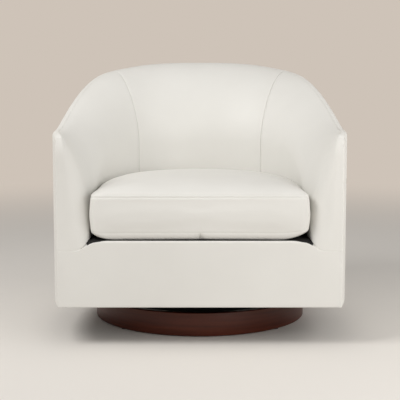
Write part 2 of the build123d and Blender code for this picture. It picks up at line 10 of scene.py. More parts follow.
import bmesh
import bpy
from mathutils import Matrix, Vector


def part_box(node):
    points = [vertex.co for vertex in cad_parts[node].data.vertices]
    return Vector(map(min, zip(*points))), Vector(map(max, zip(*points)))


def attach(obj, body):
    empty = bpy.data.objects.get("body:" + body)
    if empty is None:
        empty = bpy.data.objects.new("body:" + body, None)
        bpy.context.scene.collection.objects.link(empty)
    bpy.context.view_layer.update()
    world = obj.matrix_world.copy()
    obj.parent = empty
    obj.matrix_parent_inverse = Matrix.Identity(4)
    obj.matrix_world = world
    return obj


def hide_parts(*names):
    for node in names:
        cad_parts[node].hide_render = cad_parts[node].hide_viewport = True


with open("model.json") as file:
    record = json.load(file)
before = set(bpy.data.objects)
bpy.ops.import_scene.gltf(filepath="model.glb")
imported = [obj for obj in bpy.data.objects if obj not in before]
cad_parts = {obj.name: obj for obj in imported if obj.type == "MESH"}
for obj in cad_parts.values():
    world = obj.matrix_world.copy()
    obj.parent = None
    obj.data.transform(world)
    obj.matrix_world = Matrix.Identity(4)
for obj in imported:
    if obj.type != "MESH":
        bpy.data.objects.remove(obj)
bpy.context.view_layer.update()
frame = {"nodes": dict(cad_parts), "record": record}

# ---- sizes read from the frame -------------------------------------------------------

SHELL_LOW, SHELL_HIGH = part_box("right_arm_cover")
RING_LOW, RING_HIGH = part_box("plinth_ring")
CUSHION_LOW, CUSHION_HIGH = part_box("cushion_core")
FRONT_Y = SHELL_LOW.y
BACK_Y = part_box("outside_back_cover")[1].y
HALF_WIDTH = SHELL_HIGH.x
BODY_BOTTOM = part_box("front_rail_cover")[0].z
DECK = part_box("deck_cloth")[1].z
BACK_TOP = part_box("inside_back_cover")[1].z

# ---- shape of the shell --------------------------------------------------------------

# the plan, outside and inside
WIDEST_Y = -0.180
FRONT_HALF_WIDTH = 0.352
OUTER_ROUNDNESS = 2.38
SEAT_HALF_WIDTH = 0.270
SEAT_FRONT_HALF_WIDTH = 0.276
SEAT_BACK_Y = 0.151
INNER_ROUNDNESS = 2.25
SIDE_DRAFT = 0.0015

# the roll that leads from the upright wall to the crest
ARM_TOP = 0.526
ROLL_START_FRONT = 0.300
ROLL_START_BACK = 0.470
ROLL_BULGE_FRONT = 0.28
ROLL_BULGE_BACK = 0.46
ROLL_SETTLED_Y = 0.085
CREST_RADIUS = 0.012
CREST_LIP = 0.006
CREST_STITCH = 0.775

# the arm's rounded front edge: at its face, its crest and its foot
FRONT_EDGE_DEPTH = 0.064
FRONT_EDGE_WIDTH = 0.053
CREST_EDGE_DEPTH = 0.018
FOOT_EDGE_DEPTH = 0.024
FOOT_EDGE_WIDTH = 0.040
FRONT_EDGE_DROP = 0.20
FOOT_RISE = 7

# how far the top of the arm front leans back and drops, and from where
TOP_LEAN = 0.014
TOP_DROP = 0.005
TOP_LEAN_START = 0.470
TOP_LEAN_REACH = 0.090

# upright seams between arms and back, in degrees
SEAM_ANGLE = 57.0
SEAM_LEAN = 1.8

# the front panel: its S-shaped top edge, and the shelf that it turns in under the deck
CORNER_SEAM = 0.235
CORNER_FLAT_X = 0.307
CORNER_TOP_X = 0.257
RAIL_NOSE = 0.005
SEAM_NOSE = 0.0012
NOSE_END = 0.006
NOSE_FADE = 0.034
LAP = 0.0032
LAP_RUN = 0.004
RAIL_DEPTH = 0.040
CORNER_DEPTH = 0.002
CORNER_FADE = 0.044
HEM = 0.022
HEM_RADIUS = 0.003
LIP_GAP = 0.0004
SIDE_SEAM_GAP = 0.0006

# covers: thickness, the tucks at their seams and the crease under the crest's stitches
COVER = 0.0012
TUCK_RADIUS = 0.0030
TUCK_DEPTH = 0.0022
CORNER_TUCK = (0.0022, 0.0013)
FOOT_TUCK = (0.0030, 0.0020)
TUCK_FADE = 0.014
TUCK_ROWS = (0.0003, 0.0009, 0.0018, 0.0030)
CREASE_DEPTH = 0.0006
CREASE_WIDTH = 0.0011
CREASE_FADE = 0.14
CREASE_STEP = 0.0008

# shares along an arm cover where the flat front, the rounded edge and the wall end
FLAT_END, ROUNDED_END, STRAIGHT_END = 0.10, 0.24, 0.47
# shares up a cover where the upright wall, the roll and the crest end
UPRIGHT_END, ROLL_END, CREST_END = 0.30, 0.80, 0.93
# shares up a cover: a start and a run, over which the seam's lean comes and goes, and the
# front edge passes from its foot's size to its face's and on to its crest's
LEAN_IN, LEAN_OUT = (0.35, 0.45), (0.80, 0.19)
FOOT_FADE_RUN, CREST_FADE = 0.46, (0.50, 0.30)
# shares of an outside cover and of the front panel where their hem, edge and nose end
HEM_END, EDGE_END = 0.12, 0.16
PANEL_HEM_END, PANEL_EDGE_END, FACE_END, NOSE_TOP = 0.10, 0.14, 0.72, 0.90
OUTSIDE_STRAIGHT_END = 0.40


def mix(a, b, share):
    """From a to b by a share."""
    return a + (b - a) * share


def eased(share):
    """A share that leaves 0 and reaches 1 gently."""
    share = min(max(share, 0.0), 1.0)
    return share * share * (3 - 2 * share)


# ---- plan and crest ------------------------------------------------------------------


def reach(angle, half, depth, roundness):
    """Distance from the plan's centre to a superellipse, in a direction in degrees."""
    across, along = abs(cos(radians(angle))) / half, abs(sin(radians(angle))) / depth
    return (across**roundness + along**roundness) ** (-1 / roundness)


def front_share(y):
    """0 at the widest place of the plan and behind it, 1 at the front."""
    return max(WIDEST_Y - y, 0) / (WIDEST_Y - FRONT_Y)


# the crest line: a place along Y, the share of its rise reached there and its slope there
CREST = (
    (-0.220, 0.0, 0.0),
    (0.028, 0.365, 0.45),
    (0.170, 0.73, 0.40),
    (0.262, 0.87, 0.20),
    (0.371, 1.0, 0.12),
)


def crest_height(y):
    """The crest's height at a place along Y: a smooth curve through the places above."""
    y = min(max(y, CREST[0][0]), CREST[-1][0])
    for (y0, share0, slope0), (y1, share1, slope1) in zip(CREST, CREST[1:]):
        if y <= y1:
            run, t = y1 - y0, (y - y0) / (y1 - y0)
            z0, z1 = mix(ARM_TOP, BACK_TOP, share0), mix(ARM_TOP, BACK_TOP, share1)
            return (
                z0 * (1 + 2 * t) * (1 - t) ** 2
                + slope0 * run * t * (1 - t) ** 2
                + z1 * t * t * (3 - 2 * t)
                + slope1 * run * t * t * (t - 1)
            )


class Station:
    """An upright plane across the wall; u runs outwards from the inner wall."""

    def __init__(self, x, y, angle, span):
        self.x, self.y, self.span = x, y, span
        self.head = radians(angle)
        settled = eased((y - FRONT_Y) / (ROLL_SETTLED_Y - FRONT_Y))
        self.roll_start = mix(ROLL_START_FRONT, ROLL_START_BACK, settled)
        self.bulge = mix(ROLL_BULGE_FRONT, ROLL_BULGE_BACK, settled)
        self.crest = crest_height(y + (span - CREST_RADIUS) * sin(self.head))

    def point(self, u, z):
        return Vector((self.x + u * cos(self.head), self.y + u * sin(self.head), z))

    def roll(self, t, edge=0.0):
        """A point of the roll from the upright wall, moved out by edge, to the crest."""
        top, out = self.crest - edge * FRONT_EDGE_DROP, self.span - CREST_RADIUS
        rise, run = top - self.roll_start, out - edge
        handles = (
            (edge, self.roll_start),
            (edge, self.roll_start + self.bulge * rise),
            (out - self.bulge * run, top),
            (out, top),
        )
        weights = ((1 - t) ** 3, 3 * t * (1 - t) ** 2, 3 * t * t * (1 - t), t**3)
        return tuple(sum(w * p[i] for w, p in zip(weights, handles)) for i in (0, 1))

    def outside(self, z):
        """The outer wall at a height, with its slight draft."""
        top = self.crest - CREST_RADIUS
        return self.span - SIDE_DRAFT * max(top - z, 0) / (top - BODY_BOTTOM)

    def outermost(self, z, edge):
        """The outer limit of the flat front at a height, round the crest's corner."""
        low, rise = self.crest - CREST_RADIUS, CREST_RADIUS - edge * FRONT_EDGE_DROP
        if z <= low:
            return self.outside(z)
        across = sqrt(max(1 - ((z - low) / rise) ** 2, 0))
        return self.span - CREST_RADIUS + CREST_RADIUS * across


def arm_station(y):
    """A station across an arm, in front of the plan's widest place."""
    share = front_share(y) ** 2
    near = mix(SEAT_HALF_WIDTH, SEAT_FRONT_HALF_WIDTH, share)
    far = mix(HALF_WIDTH, FRONT_HALF_WIDTH, share)
    return Station(near, y, 0.0, far - near)


def round_station(angle):
    """A station behind the widest place, at an angle from the +X side."""
    near = reach(angle, SEAT_HALF_WIDTH, SEAT_BACK_Y - WIDEST_Y, INNER_ROUNDNESS)
    far = reach(angle, HALF_WIDTH, BACK_Y - WIDEST_Y, OUTER_ROUNDNESS)
    head = radians(angle)
    return Station(near * cos(head), WIDEST_Y + near * sin(head), angle, far - near)


# ---- sections of the shell -------------------------------------------------------------


def seam_height(x):
    """Top edge of the front panel: it dips under each arm front in an S-curve."""
    share = (abs(x) - CORNER_TOP_X) / (CORNER_FLAT_X - CORNER_TOP_X)
    return mix(DECK - RAIL_NOSE, CORNER_SEAM, eased(share))


def nose_radius(x):
    """The front panel's top edge: a rounded nose that shrinks to a seam at the corners."""
    return mix(SEAM_NOSE, RAIL_NOSE, eased((CORNER_TOP_X + NOSE_END - abs(x)) / NOSE_FADE))


def rounding_share(y):
    """How far round the arm's front edge a depth lies: 0 at the face, 1 at the inside."""
    return sqrt(1 - (1 - min((y - FRONT_Y) / FOOT_EDGE_DEPTH, 1.0)) ** 2)


def shelf_height(x, y):
    """Height of the deck, which comes down to the front panel's seam at the corners."""
    rise = rounding_share(max(y, FRONT_Y)) ** FOOT_RISE
    return mix(seam_height(x) + nose_radius(x), DECK, rise)


def section(station, b, low, edge=0.0):
    """A point (u, z) of the inside, from b = 0 at the foot to b = 1 at the lip."""
    if b <= UPRIGHT_END:
        return edge, mix(low, station.roll_start, b / UPRIGHT_END)
    if b <= ROLL_END:
        return station.roll((b - UPRIGHT_END) / (ROLL_END - UPRIGHT_END), edge)
    centre_u, centre_z = station.span - CREST_RADIUS, station.crest - CREST_RADIUS
    if b <= CREST_END:
        turn = (b - ROLL_END) / (CREST_END - ROLL_END) * pi / 2
        rise = CREST_RADIUS - edge * FRONT_EDGE_DROP
        return centre_u + CREST_RADIUS * sin(turn), centre_z + rise * cos(turn)
    z = centre_z - CREST_LIP * (b - CREST_END) / (1 - CREST_END)
    return station.outside(z), z


def seam_place(b):
    """The angle of the inside seam, which leans towards the middle near the crest."""
    lean = eased((b - LEAN_IN[0]) / LEAN_IN[1])
    return SEAM_ANGLE + SEAM_LEAN * lean * (1 - eased((b - LEAN_OUT[0]) / LEAN_OUT[1]))


def leaned(point):
    """The top of the arm front leans back a little, from TOP_LEAN_START upwards."""
    rise = min(max((point.z - TOP_LEAN_START) / (ARM_TOP - TOP_LEAN_START), 0.0), 1.0)
    near = max(1 - (point.y - FRONT_Y) / TOP_LEAN_REACH, 0.0)
    point.y += TOP_LEAN * rise ** 2 * near ** 2
    point.z -= TOP_DROP * rise ** 2 * near ** 2
    return point


def arm_inside(a, b):
    """The right arm: flat front, rounded inner edge, then along the wall to the seam."""
    above_foot = eased(b / FOOT_FADE_RUN)
    width = mix(FOOT_EDGE_WIDTH, FRONT_EDGE_WIDTH, above_foot)
    depth = mix(FOOT_EDGE_DEPTH, FRONT_EDGE_DEPTH, above_foot)
    depth = mix(depth, CREST_EDGE_DEPTH, eased((b - CREST_FADE[0]) / CREST_FADE[1]))
    if a <= ROUNDED_END:
        turn = max(a - FLAT_END, 0) / (ROUNDED_END - FLAT_END) * pi / 2
        station = arm_station(FRONT_Y + depth * (1 - cos(turn)))
        edge = width * (1 - sin(turn))
        u, z = section(station, b, CORNER_SEAM, edge)
        x = station.x + mix(max(station.outermost(z, edge), u), u, min(a / FLAT_END, 1))
        if b <= UPRIGHT_END:
            foot = mix(seam_height(x), DECK, sin(turn) ** FOOT_RISE)
            z = mix(foot, station.roll_start, b / UPRIGHT_END)
        return leaned(Vector((x, station.y, z)))
    if a <= STRAIGHT_END:
        share = (a - ROUNDED_END) / (STRAIGHT_END - ROUNDED_END)
        station = arm_station(mix(FRONT_Y + depth, WIDEST_Y, share))
    else:
        station = round_station(seam_place(b) * (a - STRAIGHT_END) / (1 - STRAIGHT_END))
    return leaned(station.point(*section(station, b, DECK)))


def back_inside(a, b):
    """The inside of the back, from the right seam to the left one."""
    station = round_station(mix(seam_place(b), 180 - seam_place(b), a))
    return station.point(*section(station, b, DECK))


def hemmed(b, hem, edge):
    """How far in and how high a cover lies on its hem and round its lower edge."""
    if b <= hem:
        return mix(HEM, HEM_RADIUS, b / hem), BODY_BOTTOM
    turn = (b - hem) / (edge - hem) * pi / 2
    return HEM_RADIUS * (1 - sin(turn)), BODY_BOTTOM + HEM_RADIUS * (1 - cos(turn))


def outside_section(station, b):
    """From the hem turned under the base, round the edge and up to the lip."""
    if b <= EDGE_END:
        inset, z = hemmed(b, HEM_END, EDGE_END)
        return station.outside(BODY_BOTTOM) - inset, z
    top = station.crest - CREST_RADIUS - CREST_LIP - LIP_GAP
    z = mix(BODY_BOTTOM + HEM_RADIUS, top, (b - EDGE_END) / (1 - EDGE_END))
    return station.outside(z), z


def arm_outside(a, b):
    """The outside of the right arm, from just behind its front to the back seam."""
    if a <= OUTSIDE_STRAIGHT_END:
        place = mix(FRONT_Y + SIDE_SEAM_GAP, WIDEST_Y, a / OUTSIDE_STRAIGHT_END)
        station = arm_station(place)
    else:
        past = (a - OUTSIDE_STRAIGHT_END) / (1 - OUTSIDE_STRAIGHT_END)
        station = round_station(SEAM_ANGLE * past)
    return leaned(station.point(*outside_section(station, b)))


def back_outside(a, b):
    """The outside of the back, from the right seam to the left one."""
    station = round_station(mix(SEAM_ANGLE, 180 - SEAM_ANGLE, a))
    return station.point(*outside_section(station, b))


def front_panel(a, b):
    """From the hem, up the face and over the rounded nose on to the deck."""
    side = arm_station(FRONT_Y)
    knee = side.x + side.outside(CORNER_SEAM)
    foot = side.x + side.outside(BODY_BOTTOM)
    x = mix(-knee, knee, a)
    top = seam_height(x)
    radius = nose_radius(x)
    if b <= PANEL_EDGE_END:
        inset, z = hemmed(b, PANEL_HEM_END, PANEL_EDGE_END)
        y = FRONT_Y + inset
    elif b <= FACE_END:
        share = (b - PANEL_EDGE_END) / (FACE_END - PANEL_EDGE_END)
        y, z = FRONT_Y, mix(BODY_BOTTOM + HEM_RADIUS, top, share)
    elif b <= NOSE_TOP:
        turn = (b - FACE_END) / (NOSE_TOP - FACE_END) * pi / 2
        y, z = FRONT_Y + radius * (1 - cos(turn)), top + radius * sin(turn)
    else:
        inner = eased((CORNER_FLAT_X - abs(x)) / CORNER_FADE)
        depth = max(mix(CORNER_DEPTH, RAIL_DEPTH, inner), radius)
        y = mix(FRONT_Y + radius, FRONT_Y + depth, (b - NOSE_TOP) / (1 - NOSE_TOP))
        z = shelf_height(x, y) - LAP * inner * min((y - FRONT_Y - radius) / LAP_RUN, 1.0)
    up = min(max((z - BODY_BOTTOM) / (CORNER_SEAM - BODY_BOTTOM), 0), 1)
    return Vector((x * (mix(foot, knee, up) / knee), y, z))


# ---- covers: sheets of points with tucked seams ----------------------------------------


def tucked(distance, radius, depth):
    """How far a cover dives towards its seam, at a distance from the sewn edge."""
    if distance >= radius:
        return 0.0
    return depth * (1 - sqrt(1 - (1 - distance / radius) ** 2))


def spaced(count, near, far, stops=()):
    """Even shares from 0 to 1, with the closer rows near each end and the stops asked for."""
    fixed = sorted({0.0, 1.0, *near, *[1 - share for share in far], *stops})
    even = [i / count for i in range(1, count)]
    free = [s for s in even if all(abs(s - f) > 0.45 / count for f in fixed)]
    return sorted(fixed + free)


def normals_of(rows):
    """A unit normal at each point of a grid; a pinched place borrows its neighbour's."""
    found = []
    for i, row in enumerate(rows):
        before, after = rows[max(i - 1, 0)], rows[min(i + 1, len(rows) - 1)]
        line = []
        for j in range(len(row)):
            across = after[j] - before[j]
            along = row[min(j + 1, len(row) - 1)] - row[max(j - 1, 0)]
            turned = across.cross(along)
            line.append(turned.normalized() if turned.length > 2e-8 else None)
        found.append(line)
    for i in range(len(rows) - 2, -1, -1):
        found[i] = [here or there for here, there in zip(found[i], found[i + 1])]
    for i in range(1, len(rows)):
        found[i] = [here or there for here, there in zip(found[i], found[i - 1])]
    return found


def new_piece(name, mesh, body):
    """An object with a mesh, in the scene and riding on a body."""
    piece = bpy.data.objects.new(name, mesh)
    bpy.context.scene.collection.objects.link(piece)
    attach(piece, body)
    return piece


def sheet_mesh(name, rows, ring=False):
    """A mesh of quads through rows of points, with lengths in metres as its UV map."""
    mesh = bpy.data.meshes.new(name)
    bm = bmesh.new()
    grid = [[bm.verts.new(p) for p in row] for row in rows]
    uv = bm.loops.layers.uv.new("cloth")
    along = [0.0]
    for a, b in zip(rows, rows[1:]):
        along.append(along[-1] + max((p - q).length for p, q in zip(a, b)))
    across = []
    for row in rows:
        run = [0.0]
        for a, b in zip(row, row[1:] + row[:1]):
            run.append(run[-1] + (a - b).length)
        across.append(run)
    columns = len(rows[0]) if ring else len(rows[0]) - 1
    for i in range(len(rows) - 1):
        for j in range(columns):
            k = (j + 1) % len(rows[0])
            corners = (grid[i][j], grid[i + 1][j], grid[i + 1][k], grid[i][k])
            face = bm.faces.new(corners)
            face.smooth = True
            places = ((i, j), (i + 1, j), (i + 1, j + 1), (i, j + 1))
            for loop, (r, c) in zip(face.loops, places):
                loop[uv].uv = (along[r], across[r][c])
    bmesh.ops.remove_doubles(bm, verts=bm.verts, dist=0.00002)
    bm.to_mesh(mesh)
    bm.free()
    return mesh


def run_length(points):
    """The length of a path through points."""
    return sum((p - q).length for p, q in zip(points, points[1:]))


def cover(name, surface, counts, sewn, stops, body, material, mirror=False, flip=False,
          creases=(), crease_start=-1.0, start_tuck=(TUCK_RADIUS, TUCK_DEPTH)):
    """A taut cover over a surface(a, b), tucked in at its sewn sides and its creases.

    The sides are "start" (a = 0), "end" (a = 1), "foot" (b = 0) and "lip" (b = 1).
    """
    length_a = run_length([surface(i / 20, 0.5) for i in range(21)])
    length_b = run_length([surface(0.5, i / 40) for i in range(41)])
    close_a, close_b = ([d / length for d in TUCK_ROWS] for length in (length_a, length_b))
    lines = [crease + step * CREASE_STEP / length_b
             for crease in creases for step in (-2, -1, 0, 1, 2)]
    shares_a = spaced(counts[0], close_a if "start" in sewn else (),
                      close_a if "end" in sewn else (), stops[0])
    shares_b = spaced(counts[1], close_b if "foot" in sewn else (),
                      close_b if "lip" in sewn else (), [*stops[1], *lines])
    rows = [[surface(a, b) for b in shares_b] for a in shares_a]
    normals = normals_of(rows)
    flat_row = next((i for i, a in enumerate(shares_a) if a >= FLAT_END), 1)
    widths = [(p - q).length for p, q in zip(rows[0], rows[flat_row])]
    moved = []
    for i, a in enumerate(shares_a):
        line = []
        for j, b in enumerate(shares_b):
            dive = 0.0
            if "start" in sewn:
                fade = min(widths[j] / TUCK_FADE, 1.0) ** 2
                dive = max(dive, fade * tucked((rows[i][j] - rows[0][j]).length, *start_tuck))
            if "end" in sewn:
                dive = max(dive, tucked((1 - a) * length_a, TUCK_RADIUS, TUCK_DEPTH))
            if "foot" in sewn:
                dive = max(dive, tucked(b * length_b, *FOOT_TUCK))
            if "lip" in sewn:
                dive = max(dive, tucked((1 - b) * length_b, *CORNER_TUCK))
            for crease in creases:
                deep = CREASE_DEPTH * eased((a - crease_start) / CREASE_FADE)
                dive = max(dive, deep * exp(-((b - crease) * length_b / CREASE_WIDTH) ** 2))
            line.append(rows[i][j] + normals[i][j] * dive * (-1 if flip else 1))
        moved.append(line)
    if mirror:
        moved = [[Vector((-p.x, p.y, p.z)) for p in row] for row in moved]
    if mirror == flip:
        moved.reverse()
    piece = new_piece(name, sheet_mesh(name, moved), body)
    thick = piece.modifiers.new("cloth thickness", "SOLIDIFY")
    thick.thickness, thick.offset = COVER, -1.0
    piece.data.materials.append(material)
    return piece


# ---- materials ---------------------------------------------------------------------------


class Finish:
    """A material with a Principled shader, and short calls to feed it."""

    def __init__(self, name, **sockets):
        self.material = bpy.data.materials.new(name)
        self.material.use_nodes = True
        self.tree = self.material.node_tree
        self.shader = self.tree.nodes["Principled BSDF"]
        for socket, value in sockets.items():
            self.shader.inputs[socket.replace("_", " ")].default_value = value
        self.here = self.tree.nodes.new("ShaderNodeTexCoord").outputs["Object"]

    def node(self, kind, **settings):
        """A node, with its own settings or its sockets' values set by name."""
        node = self.tree.nodes.new(kind)
        for key, value in settings.items():
            if hasattr(node, key) and key not in node.inputs:
                setattr(node, key, value)
            else:
                node.inputs[key.replace("_", " ")].default_value = value
        return node

    def link(self, output, target):
        self.tree.links.new(output, target)

    def mapped(self, scale):
        """The place on the object, stretched along its axes."""
        mapping = self.node("ShaderNodeMapping", Scale=scale)
        self.link(self.here, mapping.inputs["Vector"])
        return mapping.outputs["Vector"]

    def noise(self, vector, scale, detail=3.0, roughness=0.5):
        noise = self.node("ShaderNodeTexNoise", Scale=scale, Detail=detail,
                          Roughness=roughness)
        self.link(vector, noise.inputs["Vector"])
        return noise.outputs["Fac"]

    def ramp(self, value, *stops):
        ramp = self.node("ShaderNodeValToRGB")
        points = ramp.color_ramp.elements
        while len(points) < len(stops):
            points.new(0.5)
        for point, (place, colour) in zip(points, stops):
            point.position, point.color = place, (*colour, 1.0)
        self.link(value, ramp.inputs["Fac"])
        return ramp.outputs["Color"]

    def bump(self, height, strength, distance, below=None):
        bump = self.node("ShaderNodeBump", Strength=strength, Distance=distance)
        self.link(height, bump.inputs["Height"])
        if below is not None:
            self.link(below, bump.inputs["Normal"])
        return bump.outputs["Normal"]

    def colour(self, output):
        self.link(output, self.shader.inputs["Base Color"])

    def rough(self, value, low, high):
        spread = self.node("ShaderNodeMapRange", To_Min=low, To_Max=high)
        self.link(value, spread.inputs["Value"])
        self.link(spread.outputs["Result"], self.shader.inputs["Roughness"])

    def normal(self, output):
        self.link(output, self.shader.inputs["Normal"])


def ivory_leather():
    """Smooth coated upholstery hide: fine pores over soft, slow unevenness."""
    skin = Finish("ivory_faux_leather", Roughness=0.52)
    slow = skin.noise(skin.here, 5.0, 4.0)
    fine = skin.noise(skin.here, 90.0, 4.0)
    skin.colour(skin.ramp(slow, (0.30, (0.788, 0.776, 0.738)), (0.70, (0.823, 0.812, 0.775))))
    skin.rough(fine, 0.46, 0.58)
    pores = skin.node("ShaderNodeTexVoronoi", feature="DISTANCE_TO_EDGE", Scale=620.0)
    skin.link(skin.here, pores.inputs["Vector"])
    grain = skin.bump(pores.outputs["Distance"], 0.25, 0.0004)
    skin.normal(skin.bump(skin.noise(skin.here, 14.0, 2.0), 0.12, 0.004, grain))
    return skin.material


def walnut():
    """Stained walnut veneer wrapped round the plinth, with its grain lying level."""
    wood = Finish("walnut_veneer", Roughness=0.36, Specular_IOR_Level=0.32)
    stretched = wood.mapped((3.0, 3.0, 60.0))
    figure = wood.noise(stretched, 1.6, 6.0, 0.62)
    pores = wood.noise(wood.mapped((18.0, 18.0, 420.0)), 3.0, 3.0, 0.6)
    wood.colour(wood.ramp(figure, (0.25, (0.041, 0.0074, 0.0026)),
                          (0.52, (0.075, 0.0138, 0.0048)), (0.80, (0.110, 0.0220, 0.0078))))
    wood.rough(pores, 0.30, 0.46)
    wood.normal(wood.bump(pores, 0.25, 0.0003))
    return wood.material


def grained(name, roughness, grain, colours, relief, stretch=None, spread=None):
    """One grain that shades between two colours and gives a slight relief."""
    finish = Finish(name, Roughness=roughness)
    place = finish.here if stretch is None else finish.mapped(stretch)
    figure = finish.noise(place, *grain)
    finish.colour(finish.ramp(figure, *zip((0.3, 0.7), colours)))
    if spread is not None:
        finish.rough(figure, *spread)
    finish.normal(finish.bump(figure, *relief))
    return finish.material


def woven(name, dark, light, pitch):
    """Plain-weave cloth: two crossed waves of thread."""
    cloth = Finish(name, Roughness=0.9)
    waves = []
    for direction in ("X", "Y"):
        wave = cloth.node("ShaderNodeTexWave", bands_direction=direction,
                          Scale=1 / pitch / 6.283 * 2)
        cloth.link(cloth.here, wave.inputs["Vector"])
        waves.append(wave.outputs["Fac"])
    weave = cloth.node("ShaderNodeMath", operation="MULTIPLY")
    cloth.link(waves[0], weave.inputs[0])
    cloth.link(waves[1], weave.inputs[1])
    cloth.colour(cloth.ramp(weave.outputs["Value"], (0.0, dark), (1.0, light)))
    cloth.normal(cloth.bump(weave.outputs["Value"], 0.5, 0.0004))
    return cloth.material


IVORY = ivory_leather()
WALNUT = walnut()
THREAD = grained("ivory_thread", 0.6, (900.0, 2.0),
                 ((0.66, 0.645, 0.60), (0.74, 0.725, 0.685)), (0.4, 0.0003))
BLACK_CLOTH = woven("black_platform_cloth", (0.006, 0.006, 0.0065), (0.016, 0.016, 0.017),
                    0.0012)
FINISHES = {
    "ivory_upholstery": IVORY,
    "walnut_veneer": WALNUT,
    "black_stained_wood": grained(
        "black_stained_plywood", 0.8, (2.0, 4.0), ((0.008, 0.006, 0.005), (0.016, 0.012, 0.010)),
        (0.3, 0.0003), stretch=(8.0, 60.0, 8.0)),
    "frame_wood": grained(
        "raw_plywood", 0.72, (2.0, 5.0), ((0.46, 0.33, 0.20), (0.62, 0.48, 0.32)),
        (0.3, 0.0004), stretch=(6.0, 6.0, 90.0)),
    "swivel_steel": grained(
        "enamelled_steel", 0.4, (260.0, 2.0), ((0.020, 0.020, 0.021), (0.034, 0.034, 0.035)),
        (0.2, 0.0002), spread=(0.34, 0.5)),
    "glide_plastic": grained(
        "glide_plastic", 0.6, (500.0, 2.0), ((0.018, 0.018, 0.018), (0.03, 0.03, 0.03)),
        (0.3, 0.0002)),
    "black_cloth": BLACK_CLOTH,
    "webbing": woven("jute_webbing", (0.12, 0.085, 0.05), (0.26, 0.20, 0.13), 0.002),
    "foam": grained("cut_foam", 0.95, (400.0, 3.0), ((0.66, 0.60, 0.42), (0.78, 0.73, 0.56)),
                    (0.6, 0.001)),
}


def dress_cad_nodes():
    """Every carried-over node gets the finish of its slot in the record."""
    for entry in frame["record"]["subparts"]:
        node = frame["nodes"][entry["node"]]
        node.data.materials.clear()
        node.data.materials.append(FINISHES[entry["material_slot"]])


# ---- the shell's covers ---------------------------------------------------------------------

# shares along and up each cover that get a row of points of their own
INSIDE_STOPS = (UPRIGHT_END, ROLL_END, CREST_END)
ARM_STOPS = ((FLAT_END, 0.12, 0.14, 0.16, 0.18, 0.20, 0.22, ROUNDED_END, STRAIGHT_END),
             INSIDE_STOPS)
OUTSIDE_STOPS = ((OUTSIDE_STRAIGHT_END,), (HEM_END, 0.13, 0.14, 0.15, EDGE_END))
FRONT_STOPS = (PANEL_HEM_END, 0.11, 0.12, 0.13, PANEL_EDGE_END, FACE_END, 0.75, 0.78, 0.81,
               0.84, 0.87, NOSE_TOP, 0.908, 0.925, 0.942, 0.958, 0.975, 0.992)
ARM_CREASE_START = 0.14


def upholster_shell():
    """The covers of the arms, the back and the front, each in place of its solids."""
    for side, mirror in (("right", False), ("left", True)):
        arm = cover(f"{side}_arm_upholstery", arm_inside, (100, 80),
                    ("start", "end", "lip", "foot"), ARM_STOPS, "seat", IVORY, mirror=mirror,
                    creases=(CREST_STITCH,), crease_start=ARM_CREASE_START,
                    start_tuck=CORNER_TUCK)
        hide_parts(f"{side}_arm_cover", f"{side}_arm_foam")
        outside = cover(f"{side}_outside_panel", arm_outside, (60, 40), ("start", "end", "lip"),
                        OUTSIDE_STOPS, "seat", IVORY, mirror=mirror, flip=True,
                        start_tuck=CORNER_TUCK)
        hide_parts(f"{side}_outside_arm_cover")
    back = cover("inside_back_upholstery", back_inside, (60, 80), ("start", "end", "lip"),
                 ((), INSIDE_STOPS), "seat", IVORY, creases=(CREST_STITCH,))
    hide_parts("inside_back_cover", "inside_back_foam")
    rear = cover("outside_back_panel", back_outside, (48, 40), ("start", "end", "lip"),
                 ((), OUTSIDE_STOPS[1]), "seat", IVORY, flip=True)
    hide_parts("outside_back_cover")
    panel = cover("front_panel_upholstery", front_panel, (120, 60), ("start", "end"),
                  ((), FRONT_STOPS), "seat", IVORY, flip=True, start_tuck=CORNER_TUCK)
    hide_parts("front_rail_cover", "front_rail_pad")


# ---- plinth -----------------------------------------------------------------------------------


def turned_ring(name, outline, body, steps=160):
    """A closed section of (radius, height) points turned round the swivel axis."""
    rows = []
    for i in range(steps):
        turn = 2 * pi * i / steps
        rows.append([Vector((r * cos(turn), r * sin(turn), z)) for r, z in outline])
    mesh = bpy.data.meshes.new(name)
    bm = bmesh.new()
    grid = [[bm.verts.new(p) for p in row] for row in rows]
    for i in range(steps):
        for j in range(len(outline)):
            k, m = (i + 1) % steps, (j + 1) % len(outline)
            face = bm.faces.new((grid[i][j], grid[k][j], grid[k][m], grid[i][m]))
            face.smooth = True
    bmesh.ops.recalc_face_normals(bm, faces=bm.faces)
    bm.to_mesh(mesh)
    bm.free()
    return new_piece(name, mesh, body)


def make_plinth():
    """The plinth's bent band, with its edges just broken."""
    radius, wall, edge = RING_HIGH.x, 0.018, 0.0018
    low, high = RING_LOW.z, RING_HIGH.z
    outline = [(radius - wall, low), (radius - wall, high)]
    for corner, turns in ((high - edge, (90, 60, 30, 0)), (low + edge, (0, -30, -60, -90))):
        for turn in turns:
            outline.append((radius - edge + edge * cos(radians(turn)),
                            corner + edge * sin(radians(turn))))
    ring = turned_ring("plinth_band", outline, "base")
    ring.data.materials.append(WALNUT)
    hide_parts("plinth_ring")


# ---- cushion ------------------------------------------------------------------------------------

CUSHION_BOTTOM = DECK + 0.0008
LOWEST_CUSHION = DECK + 0.0005
MIDDLE_Y = -0.12
COLUMNS = 200
BAND_LOW = 0.2795
BAND_HIGH = 0.3680
CROWN_TOP = 0.3985
# gaps between the cushion's widest ring and the arms, and behind the shell's front
CUSHION_GAP = 0.0030
CUSHION_FRONT = 0.0035
CORNER_RADIUS = 0.020
CROWN_RUN = 0.135
BAND_SWELL = 0.0016
# how far the underside's rounding draws in at the sides and at the front
SIDE_ROLL = 0.046
FRONT_ROLL = 0.013
